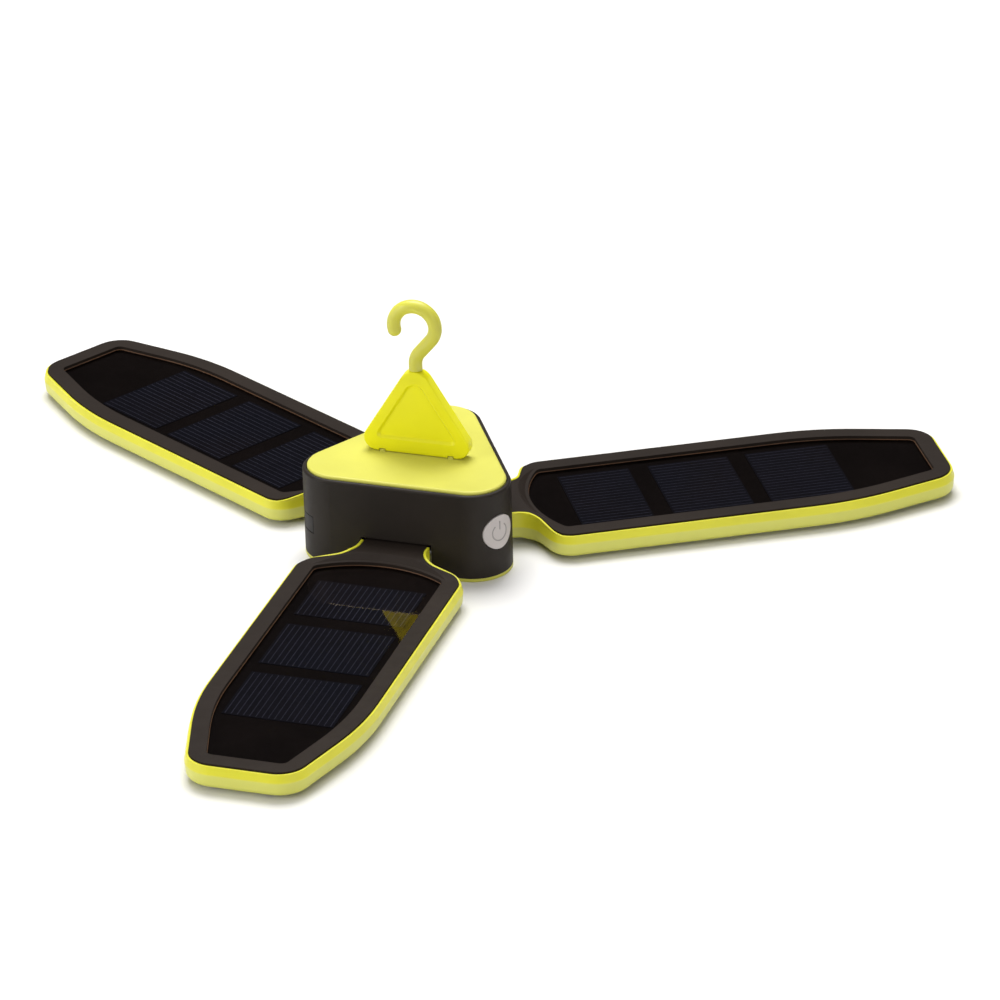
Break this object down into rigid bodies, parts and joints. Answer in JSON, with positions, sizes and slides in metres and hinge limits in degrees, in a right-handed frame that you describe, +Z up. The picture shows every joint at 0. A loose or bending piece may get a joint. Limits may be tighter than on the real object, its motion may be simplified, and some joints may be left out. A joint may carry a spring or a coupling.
{
  "type": "solar lantern",
  "caption": "Solar lantern with a three-sided hub, hinged wings that carry solar panels on top and lights beneath, and a folding hook plate.",
  "frame": {"origin": "on the hub's vertical axis, at the flat underside of the bottom cover", "axes": "+Z up; the front wing points along -Y, the other two wings at 30 and 150 degrees from +X; the hook plate lies in the XZ plane"},
  "size_m": [0.3138, 0.2746, 0.0842],
  "materials": {
    "shell_yellow": "satin lime yellow moulding",
    "cover_yellow": "satin lime yellow moulding",
    "plate_yellow": "satin yellow moulding",
    "hook_yellow": "slightly translucent yellow nylon",
    "body_charcoal": "fine satin texture",
    "bezel_charcoal": "fine satin texture",
    "panel_board": "black laminate",
    "cell_silicon": "dark blue silicon with printed fingers",
    "panel_clear": "clear glossy encapsulant",
    "lens_frosted": "frosted diffuser",
    "seal_rubber": "matt",
    "plug_rubber": "matt",
    "circuit_board": "green solder mask",
    "led_phosphor": "white package with yellow phosphor",
    "steel": "zinc plated",
    "socket_steel": "bright",
    "battery_foil": "foil pouch",
    "foam": "black foam",
    "switch_black": "matt",
    "button_grey": "satin light grey"
  },
  "bodies": {
    "hub": {"hub_shell": "body_charcoal", "bottom_cover": "cover_yellow", "top_cover": "cover_yellow", "top_gasket": "seal_rubber", "hub_screws": "steel", "wing_hinge_pins": "steel", "hinge_washers": "steel", "control_board": "circuit_board", "battery_pack": "battery_foil", "battery_foam": "foam", "tact_switch": "switch_black", "usb_socket": "socket_steel"},
    "wing_front": {"front_wing_shell": "shell_yellow", "front_wing_bezel": "bezel_charcoal", "front_solar_panel": "panel_board", "front_solar_cells": "cell_silicon", "front_panel_cover": "panel_clear", "front_panel_gasket": "seal_rubber", "front_led_lens": "lens_frosted", "front_led_board": "circuit_board", "front_leds": "led_phosphor", "front_wing_screws": "steel"},
    "wing_right": {"right_wing_shell": "shell_yellow", "right_wing_bezel": "bezel_charcoal", "right_solar_panel": "panel_board", "right_solar_cells": "cell_silicon", "right_panel_cover": "panel_clear", "right_panel_gasket": "seal_rubber", "right_led_lens": "lens_frosted", "right_led_board": "circuit_board", "right_leds": "led_phosphor", "right_wing_screws": "steel"},
    "wing_left": {"left_wing_shell": "shell_yellow", "left_wing_bezel": "bezel_charcoal", "left_solar_panel": "panel_board", "left_solar_cells": "cell_silicon", "left_panel_cover": "panel_clear", "left_panel_gasket": "seal_rubber", "left_led_lens": "lens_frosted", "left_led_board": "circuit_board", "left_leds": "led_phosphor", "left_wing_screws": "steel"},
    "power_button": {"power_button": "button_grey"},
    "port_plug": {"port_plug": "plug_rubber"},
    "hook_plate": {"hook_plate": "plate_yellow", "hook_plate_pin": "steel"},
    "hook": {"hook": "hook_yellow", "hook_clip": "steel"}
  },
  "joints": [
    {"name": "front_wing_fold", "type": "hinge", "parent": "hub", "child": "wing_front", "pos_m": [0, -0.022, 0.0066], "axis": [1, 0, 0], "range_deg": [0, 90]},
    {"name": "right_wing_fold", "type": "hinge", "parent": "hub", "child": "wing_right", "pos_m": [0.01905, 0.011, 0.0066], "axis": [-0.5, 0.866, 0], "range_deg": [0, 90]},
    {"name": "left_wing_fold", "type": "hinge", "parent": "hub", "child": "wing_left", "pos_m": [-0.01905, 0.011, 0.0066], "axis": [-0.5, -0.866, 0], "range_deg": [0, 90]},
    {"name": "button_press", "type": "slide", "parent": "hub", "child": "power_button", "axis": [-0.866, 0.5, 0], "range_m": [0, 0.0008], "stiffness_N_per_m": 1200, "springref_m": -0.0005},
    {"name": "plug_flap", "type": "hinge", "parent": "hub", "child": "port_plug", "pos_m": [-0.03351, -0.01312, 0.0127], "axis": [0, 0, -1], "range_deg": [0, 100]},
    {"name": "plate_fold", "type": "hinge", "parent": "hub", "child": "hook_plate", "pos_m": [0, 0.001, 0.03235], "axis": [-1, 0, 0], "range_deg": [0, 90]},
    {"name": "hook_swivel", "type": "hinge", "parent": "hook_plate", "child": "hook", "pos_m": [0, 0, 0.0603], "axis": [0, 0, 1], "continuous": true}
  ]
}
